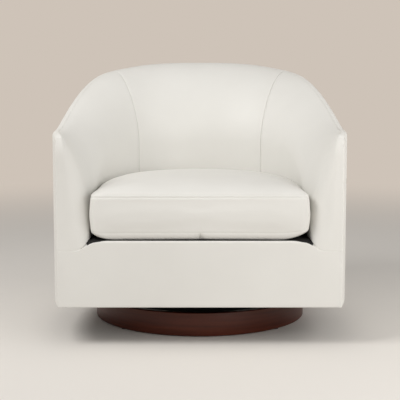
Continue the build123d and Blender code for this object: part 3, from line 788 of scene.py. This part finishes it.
# the lower front corners stand up a little: width and rise of each
CORNER_LIFTS = {"left": (0.042, 0.0058), "right": (0.072, 0.0120)}
SEAM_DEPTH = 0.0020
STITCH_ROW = 3
STITCH_DEPTH = 0.0009
# the pucker at the middle of the lower front edge: depth, half width, height, reach
PINCH_DEPTH, PINCH_WIDTH, PINCH_Z, PINCH_REACH = 0.011, 0.0010, 0.269, 0.008
# the cloth simulation: pressure, limit of its movement, and its limit towards the front
SWELL_PRESSURE, SWELL_LIMIT, SWELL_FRONT = 3.0, 0.0022, 0.0012


def cushion_edge(share, side, front):
    """A point of half the cushion's plan, from the middle of the front to the back."""
    front_y = FRONT_Y + CUSHION_FRONT + front
    half = SEAT_FRONT_HALF_WIDTH - CUSHION_GAP - side
    corner = CORNER_RADIUS + 0.5 * side
    sweep = (SEAT_HALF_WIDTH - CUSHION_GAP - side) * 1.75
    lengths = (half - corner, corner * pi / 2, WIDEST_Y - front_y - corner, sweep)
    run = share * sum(lengths)
    if run <= lengths[0]:
        return run, front_y
    run -= lengths[0]
    if run <= lengths[1]:
        turn = run / corner
        return half - corner + corner * sin(turn), front_y + corner * (1 - cos(turn))
    run -= lengths[1]
    if run <= lengths[2]:
        station = arm_station(front_y + corner + run)
        return station.x - CUSHION_GAP - side, station.y
    angle = min((run - lengths[2]) / sweep, 1.0) * 90
    near = reach(angle, SEAT_HALF_WIDTH - CUSHION_GAP - side,
                 SEAT_BACK_Y - WIDEST_Y - CUSHION_GAP - side, INNER_ROUNDNESS)
    return near * cos(radians(angle)), WIDEST_Y + near * sin(radians(angle))


def cushion_ring(side, z, front=None):
    """One closed ring of the cushion at a height, drawn in at the sides and the front."""
    front = side if front is None else front
    steps = [0.0, 0.15, *range(2, COLUMNS // 2 + 1)]
    half = [cushion_edge(2 * i / COLUMNS, side, front) for i in steps]
    half[-1] = (0.0, half[-1][1])
    ring = half + [(-x, y) for x, y in reversed(half[1:-1])]
    return [Vector((x, y, z)) for x, y in ring]


def scaled_ring(ring, share, z):
    """A ring shrunk towards the middle of the seat, at a height."""
    return [Vector((share * p.x, mix(MIDDLE_Y, p.y, share), z)) for p in ring]


def crown_rise(inset):
    """The crown stands up steeply at its seam and levels out towards the middle."""
    return (CROWN_TOP - BAND_HIGH) * (1 - max(1 - inset / CROWN_RUN, 0.0) ** 2.3) ** (1 / 2.1)


def cushion_rows():
    """Rings from the middle of the underside, round the band, to the middle of the crown."""
    rows = []
    foot = cushion_ring(SIDE_ROLL, CUSHION_BOTTOM, FRONT_ROLL)
    for share in (0.25, 0.4, 0.6, 0.8, 0.93):
        rows.append(scaled_ring(foot, share, CUSHION_BOTTOM))
    for turn in (0, 18, 36, 54, 70, 82):
        inward = 1 - sin(radians(turn))
        rise = (BAND_LOW - CUSHION_BOTTOM) * (1 - cos(radians(turn)))
        rows.append(cushion_ring(SIDE_ROLL * inward, CUSHION_BOTTOM + rise,
                                 FRONT_ROLL * inward))
    seam_low = len(rows)
    rows.append(cushion_ring(0.0, BAND_LOW))
    band = BAND_HIGH - BAND_LOW
    for t in (0.02, 0.05, 0.12, 0.2, 0.3, 0.4, 0.5, 0.6, 0.7, 0.8, 0.88, 0.95, 0.98):
        out = BAND_SWELL * sin(pi * t) ** 0.7
        rows.append(cushion_ring(-out, BAND_LOW + band * t))
    seam_high = len(rows)
    for inset in (0.0, 0.0008, 0.0022, 0.004, 0.006, 0.009, 0.013, 0.019, 0.027, 0.037,
                  0.050, 0.066, 0.085, 0.107):
        rows.append(cushion_ring(inset, BAND_HIGH + crown_rise(inset)))
    rim, rest = rows[-1], CROWN_TOP - rows[-1][0].z
    for share in (0.84, 0.66, 0.48, 0.30):
        rows.append(scaled_ring(rim, share, CROWN_TOP - rest * share ** 2))
    return rows, seam_low, seam_high


def inflate(piece, pressure, limit, steps=16):
    """Cloth under pressure; its swelling is evened out, held to a limit and applied."""
    rest = [v.co.copy() for v in piece.data.vertices]
    cloth = piece.modifiers.new("swell", "CLOTH")
    settings = cloth.settings
    settings.use_pressure = True
    settings.uniform_pressure_force = pressure
    settings.effector_weights.gravity = 0.0
    settings.tension_stiffness = settings.compression_stiffness = 40.0
    settings.bending_stiffness = 4.0
    settings.mass = 0.3
    scene = bpy.context.scene
    scene.frame_start, scene.frame_end = 1, steps
    for step in range(1, steps + 1):
        scene.frame_set(step)
    result = piece.evaluated_get(bpy.context.evaluated_depsgraph_get())
    shift = [v.co - start for v, start in zip(result.data.vertices, rest)]
    piece.modifiers.remove(cloth)
    scene.frame_set(1)
    beside = [[] for _ in rest]
    for edge in piece.data.edges:
        a, b = edge.vertices
        beside[a].append(b)
        beside[b].append(a)
    for _ in range(14):
        shift = [(here + sum((shift[k] for k in near), Vector())) / (len(near) + 1)
                 for here, near in zip(shift, beside)]
    for vertex, start, step in zip(piece.data.vertices, rest, shift):
        if step.length > limit:
            step = step * (limit / step.length)
        step.y = max(step.y, -SWELL_FRONT)
        vertex.co = start + step


def make_cushion():
    """The loose seat cushion; gives back the points of its topstitched line."""
    rows, seam_low, seam_high = cushion_rows()
    mesh = bpy.data.meshes.new("seat_cushion")
    bm = bmesh.new()
    grid = [[bm.verts.new(p) for p in row] for row in rows]
    for i in range(len(rows) - 1):
        for j in range(COLUMNS):
            k = (j + 1) % COLUMNS
            bm.faces.new((grid[i][j], grid[i][k], grid[i + 1][k], grid[i + 1][j])).smooth = True
    for ring in (grid[0], grid[-1]):
        for j in range(COLUMNS // 2):
            corners = (ring[j], ring[j + 1], ring[-j - 1], ring[-j])
            bm.faces.new(list(dict.fromkeys(corners))).smooth = True
    bmesh.ops.recalc_face_normals(bm, faces=bm.faces)
    bm.to_mesh(mesh)
    bm.free()
    piece = new_piece("seat_cushion", mesh, "cushion")
    inflate(piece, SWELL_PRESSURE, SWELL_LIMIT)
    for vertex in mesh.vertices:
        x, y, z = vertex.co
        if z < LOWEST_CUSHION:
            vertex.co.z = LOWEST_CUSHION
        width, lift = CORNER_LIFTS["right" if x > 0 else "left"]
        corner = max(1 - (SEAT_FRONT_HALF_WIDTH - CUSHION_GAP - abs(x)) / width, 0.0) ** 1.3
        corner *= eased((FRONT_Y + 0.12 - y) / 0.10)
        vertex.co.z += lift * corner * eased((BAND_LOW + 0.03 - z) / 0.045)
        if y < FRONT_Y + 0.03 and z < BAND_LOW + 0.006:
            across, up = exp(-(x / PINCH_WIDTH) ** 2), exp(-((z - PINCH_Z) / PINCH_REACH) ** 2)
            vertex.co.y += PINCH_DEPTH * across * up
    for seam, depth in ((seam_low, 0.7 * SEAM_DEPTH), (seam_high, SEAM_DEPTH),
                        (seam_high + STITCH_ROW, STITCH_DEPTH)):
        for j in range(COLUMNS):
            vertex = mesh.vertices[seam * COLUMNS + j]
            middle = Vector((0.0, MIDDLE_Y, vertex.co.z - 0.1))
            vertex.co += (middle - vertex.co).normalized() * depth
    smooth = piece.modifiers.new("rounding", "SUBSURF")
    smooth.levels = smooth.render_levels = 1
    piece.data.materials.append(IVORY)
    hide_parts("cushion_core", "cushion_band", "cushion_top_panel",
                "cushion_bottom_panel")
    finished = piece.evaluated_get(bpy.context.evaluated_depsgraph_get()).data
    first = (seam_high + STITCH_ROW) * COLUMNS
    return [finished.vertices[first + j].co.copy() for j in range(COLUMNS)]


# ---- black cloths: the deck under the cushion and the dust cover under the base ---------------

DECK_CLOTH = 0.0012
DUST_CLOTH = 0.0007
# how far the deck's edge runs in under the covers: at the front, further back, and the run
DECK_TUCK = (0.002, 0.022)
DECK_TUCK_START = 0.006
DECK_TUCK_RUN = 0.04
DUST_INSET = 0.026
DUST_OPENING = 0.125


def plan_ring(start_y, place, steps=12):
    """A closed plan ring: across the front, then along the stations round the back."""
    stations = [arm_station(mix(start_y, WIDEST_Y, i / steps)) for i in range(steps)]
    stations += [round_station(90 * i / (2 * steps)) for i in range(2 * steps + 1)]
    right = [s.point(place(s), 0.0) for s in stations]
    across = [Vector((right[0].x * i / 30, right[0].y, 0.0)) for i in range(30)]
    half = across + right
    return half + [Vector((-p.x, p.y, 0.0)) for p in reversed(half[1:-1])]


def cloth_sheet(name, outer, inner, height, thickness, node):
    """A stretched cloth between a ring and the hole or middle point inside it."""
    rows = []
    for share in (0.0, 0.02, 0.04, 0.07, 0.1, 0.15, 0.3, 0.45, 0.6, 0.75, 0.88, 0.96, 1.0):
        row = []
        for p, q in zip(outer, inner):
            x, y = mix(p.x, q.x, share), mix(p.y, q.y, share)
            row.append(Vector((x, y, height(x, y))))
        rows.append(row)
    mesh = sheet_mesh(name, rows, ring=True)
    bm = bmesh.new()
    bm.from_mesh(mesh)
    if sum(face.normal.z for face in bm.faces) < 0:
        bmesh.ops.reverse_faces(bm, faces=bm.faces)
    bm.to_mesh(mesh)
    bm.free()
    piece = new_piece(name, mesh, "seat")
    thick = piece.modifiers.new("cloth thickness", "SOLIDIFY")
    thick.thickness, thick.offset = thickness, -1.0
    piece.data.materials.append(BLACK_CLOTH)
    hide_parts(node)


def deck_tuck(station):
    """How far the deck cloth runs in under the covers at a station."""
    return mix(*DECK_TUCK, eased((station.y - FRONT_Y - DECK_TUCK_START) / DECK_TUCK_RUN))


def make_cloths():
    """The deck cloth, and the dust cover with its square opening for the swivel."""
    deck = plan_ring(FRONT_Y + RAIL_NOSE + 0.001, deck_tuck)
    middle = [Vector((0.002 * p.x, MIDDLE_Y + 0.002 * p.y, 0.0)) for p in deck]
    cloth_sheet("deck_platform_cloth", deck, middle, shelf_height, DECK_CLOTH, "deck_cloth")
    low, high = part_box("dust_cover")
    edge = plan_ring(low.y + 0.0005, lambda s: s.span - DUST_INSET)
    hole = []
    for p in edge:
        far = max(abs(p.x), abs(p.y))
        hole.append(Vector((DUST_OPENING * p.x / far, DUST_OPENING * p.y / far, 0.0)))
    cloth_sheet("dust_cover_cloth", edge, hole, lambda x, y: high.z - 0.0001, DUST_CLOTH,
                "dust_cover")


# ---- stitches ---------------------------------------------------------------------------------

STITCH_SIZES = {"Pitch": 0.0058, "Stitch Length": 0.0019, "Thread Radius": 0.00034}
STITCH_LIFT = 0.0001


def stitch_tree(name, material):
    """Geometry nodes that lay one thread stitch after another along a path."""
    tree = bpy.data.node_groups.new(name, "GeometryNodeTree")
    face = tree.interface
    face.new_socket("Path", in_out="INPUT", socket_type="NodeSocketGeometry")
    sockets = {size: face.new_socket(size, in_out="INPUT", socket_type="NodeSocketFloat")
               for size in STITCH_SIZES}
    face.new_socket("Stitches", in_out="OUTPUT", socket_type="NodeSocketGeometry")
    nodes, links = tree.nodes, tree.links
    start, end = nodes.new("NodeGroupInput"), nodes.new("NodeGroupOutput")
    evenly = nodes.new("GeometryNodeResampleCurve")
    evenly.mode = "LENGTH"
    bead = nodes.new("GeometryNodeMeshUVSphere")
    bead.inputs["Segments"].default_value = 8
    bead.inputs["Rings"].default_value = 5
    bead.inputs["Radius"].default_value = 1.0
    size = nodes.new("ShaderNodeCombineXYZ")
    tangent = nodes.new("GeometryNodeInputTangent")
    turn = nodes.new("FunctionNodeAlignRotationToVector")
    turn.axis = "X"
    lay = nodes.new("GeometryNodeInstanceOnPoints")
    real = nodes.new("GeometryNodeRealizeInstances")
    finish = nodes.new("GeometryNodeSetMaterial")
    finish.inputs["Material"].default_value = material
    for source, output, target, socket in (
        (start, "Path", evenly, "Curve"),
        (start, "Pitch", evenly, "Length"),
        (start, "Stitch Length", size, "X"),
        (start, "Thread Radius", size, "Y"),
        (start, "Thread Radius", size, "Z"),
        (tangent, "Tangent", turn, "Vector"),
        (evenly, "Curve", lay, "Points"),
        (bead, "Mesh", lay, "Instance"),
        (turn, "Rotation", lay, "Rotation"),
        (size, "Vector", lay, "Scale"),
        (lay, "Instances", real, "Geometry"),
        (real, "Geometry", finish, "Geometry"),
        (finish, "Geometry", end, "Stitches"),
    ):
        links.new(source.outputs[output], target.inputs[socket])
    return tree, {size: socket.identifier for size, socket in sockets.items()}


def stitches(name, path, body, closed=False):
    """A row of stitches along points, made a plain mesh."""
    curve = bpy.data.curves.new(name + "_path", "CURVE")
    curve.dimensions = "3D"
    line = curve.splines.new("POLY")
    line.points.add(len(path) - 1)
    for point, place in zip(line.points, path):
        point.co = (*place, 1.0)
    line.use_cyclic_u = closed
    holder = bpy.data.objects.new(name + "_path", curve)
    bpy.context.scene.collection.objects.link(holder)
    tree, sockets = stitch_tree(name + "_nodes", THREAD)
    sewing = holder.modifiers.new("stitches", "NODES")
    sewing.node_group = tree
    for socket, value in STITCH_SIZES.items():
        sewing[sockets[socket]] = value
    evaluated = holder.evaluated_get(bpy.context.evaluated_depsgraph_get())
    mesh = bpy.data.meshes.new_from_object(evaluated)
    mesh.name = name
    bpy.data.objects.remove(holder)
    for polygon in mesh.polygons:
        polygon.use_smooth = True
    piece = new_piece(name, mesh, body)
    return piece


def on_surface(surface, pairs, lift=STITCH_LIFT):
    """Points over a cover, just proud of it, at each (a, b)."""
    points = []
    for a, b in pairs:
        here, step = surface(a, b), 0.002
        across = surface(min(a + step, 1), b) - surface(max(a - step, 0), b)
        along = surface(a, min(b + step, 1)) - surface(a, max(b - step, 0))
        points.append(here - across.cross(along).normalized() * lift)
    return points


def sew():
    """Topstitching along the crest and beside the inside seams."""
    for side, sign in (("right", 1), ("left", -1)):
        crest = on_surface(arm_inside, [(mix(ROUNDED_END, 0.985, i / 160), CREST_STITCH)
                                        for i in range(161)], 0.0)
        seam = on_surface(arm_inside, [(0.9915, mix(0.05, 0.76, i / 80)) for i in range(81)])
        for name, path in (("crest", crest), ("inside_seam", seam)):
            stitches(f"{side}_{name}_stitches", [(sign * p.x, p.y, p.z) for p in path], "seat")
    crest = on_surface(back_inside, [(mix(0.02, 0.98, i / 120), CREST_STITCH)
                                     for i in range(121)], 0.0)
    stitches("back_crest_stitches", crest, "seat")


# ---- stage, lights and camera -----------------------------------------------------------------


BACKDROP = (0.617, 0.546, 0.479)
FLOOR = (0.80, 0.765, 0.72)
FLOOR_FADE = (1.3, 3.6)
FLOOR_REACH = 14.0


def seen_rays(tree):
    """1 for rays that come straight from the eye, a gloss or a clear part, otherwise 0."""
    rays, total = tree.nodes.new("ShaderNodeLightPath"), None
    for kind in ("Is Camera Ray", "Is Glossy Ray", "Is Transmission Ray"):
        if total is None:
            total = rays.outputs[kind]
            continue
        more = tree.nodes.new("ShaderNodeMath")
        more.operation = "MAXIMUM"
        tree.links.new(total, more.inputs[0])
        tree.links.new(rays.outputs[kind], more.inputs[1])
        total = more.outputs["Value"]
    return total


def pale_floor():
    """A pale floor that keeps the shadow, and fades into the backdrop's colour far out."""
    floor = Finish("pale_floor", Base_Color=(*FLOOR, 1.0), Roughness=0.9)
    far = floor.node("ShaderNodeVectorMath", operation="LENGTH")
    floor.link(floor.here, far.inputs[0])
    fade = floor.node("ShaderNodeMapRange", interpolation_type="SMOOTHSTEP")
    fade.inputs["From Min"].default_value, fade.inputs["From Max"].default_value = FLOOR_FADE
    floor.link(far.outputs["Value"], fade.inputs["Value"])
    share = floor.node("ShaderNodeMath", operation="MULTIPLY")
    floor.link(fade.outputs["Result"], share.inputs[0])
    floor.link(seen_rays(floor.tree), share.inputs[1])
    glow = floor.node("ShaderNodeEmission", Color=(*BACKDROP, 1.0), Strength=1.0)
    blend = floor.node("ShaderNodeMixShader")
    floor.link(share.outputs["Value"], blend.inputs["Fac"])
    floor.link(floor.shader.outputs["BSDF"], blend.inputs[1])
    floor.link(glow.outputs["Emission"], blend.inputs[2])
    floor.link(blend.outputs["Shader"], floor.tree.nodes["Material Output"].inputs["Surface"])
    return floor.material


def make_stage():
    """A wide plain floor; the world behind it has the backdrop's colour."""
    places = [-FLOOR_REACH, -4.0, 0.0, 4.0, FLOOR_REACH]
    rows = [[Vector((x, y, 0.0)) for y in places] for x in reversed(places)]
    floor = bpy.data.objects.new("studio_floor", sheet_mesh("studio_floor", rows))
    bpy.context.scene.collection.objects.link(floor)
    floor.data.materials.append(pale_floor())


def area_lamp(name, place, aim, size, power):
    """A square lamp at a place, turned to aim at another."""
    lamp = bpy.data.lights.new(name, "AREA")
    lamp.shape, lamp.size, lamp.energy, lamp.color = "SQUARE", size, power, WARM
    holder = bpy.data.objects.new(name, lamp)
    holder.location = place
    holder.rotation_euler = (Vector(aim) - Vector(place)).to_track_quat("-Z", "Y").to_euler()
    bpy.context.scene.collection.objects.link(holder)


WARM = (1.0, 0.99, 0.975)
WORLD_LIGHT = 0.395
# name, place, aim, size and power
LAMPS = (
    ("softbox_left", (-1.6, -1.0, 2.2), (0.4, 0.0, 0.4), 1.2, 34.0),
    ("softbox_right", (1.6, -0.6, 1.1), (-0.3, 0.0, 0.42), 1.2, 8.3),
    ("softbox_front_right", (1.1, -1.7, 0.8), (0.3, -0.3, 0.3), 1.0, 8.5),
)


def make_lights():
    """An even world light, whose seen side has the backdrop's colour, and the lamps."""
    world = bpy.data.worlds.new("studio")
    bpy.context.scene.world = world
    world.use_nodes = True
    tree = world.node_tree
    light, blend = tree.nodes["Background"], tree.nodes.new("ShaderNodeMixShader")
    light.inputs["Color"].default_value = (*WARM, 1.0)
    light.inputs["Strength"].default_value = WORLD_LIGHT
    behind = tree.nodes.new("ShaderNodeBackground")
    behind.inputs["Color"].default_value = (*BACKDROP, 1.0)
    behind.inputs["Strength"].default_value = 1.0
    tree.links.new(seen_rays(tree), blend.inputs["Fac"])
    tree.links.new(light.outputs["Background"], blend.inputs[1])
    tree.links.new(behind.outputs["Background"], blend.inputs[2])
    tree.links.new(blend.outputs["Shader"], tree.nodes["World Output"].inputs["Surface"])
    for lamp in LAMPS:
        area_lamp(*lamp)


# the camera, and its frame in pixels
CAMERA_DISTANCE = 2.888
CAMERA_HEIGHT = 0.6746
CAMERA_PITCH = 4.851
FOCAL_PIXELS = 1036.1
FRAME_PIXELS = 400
AXIS_PIXEL = 160.0
CENTRE_PIXEL = 199.8


def make_camera():
    """A long lens at the front, looking slightly down."""
    lens = bpy.data.cameras.new("photo_camera")
    lens.sensor_width = 36.0
    lens.lens = 36.0 * FOCAL_PIXELS / FRAME_PIXELS
    lens.shift_y = (AXIS_PIXEL - FRAME_PIXELS / 2) / FRAME_PIXELS
    lens.shift_x = (FRAME_PIXELS / 2 - CENTRE_PIXEL) / FRAME_PIXELS
    camera = bpy.data.objects.new("photo_camera", lens)
    camera.location = (0.0, -CAMERA_DISTANCE, CAMERA_HEIGHT)
    camera.rotation_euler = (radians(90 - CAMERA_PITCH), 0.0, 0.0)
    bpy.context.scene.collection.objects.link(camera)
    bpy.context.scene.camera = camera


make_camera()
make_lights()
make_stage()
dress_cad_nodes()
upholster_shell()
make_plinth()
stitches("cushion_top_stitches", make_cushion(), "cushion", closed=True)
make_cloths()
sew()

bpy.context.scene.view_settings.view_transform = "Standard"
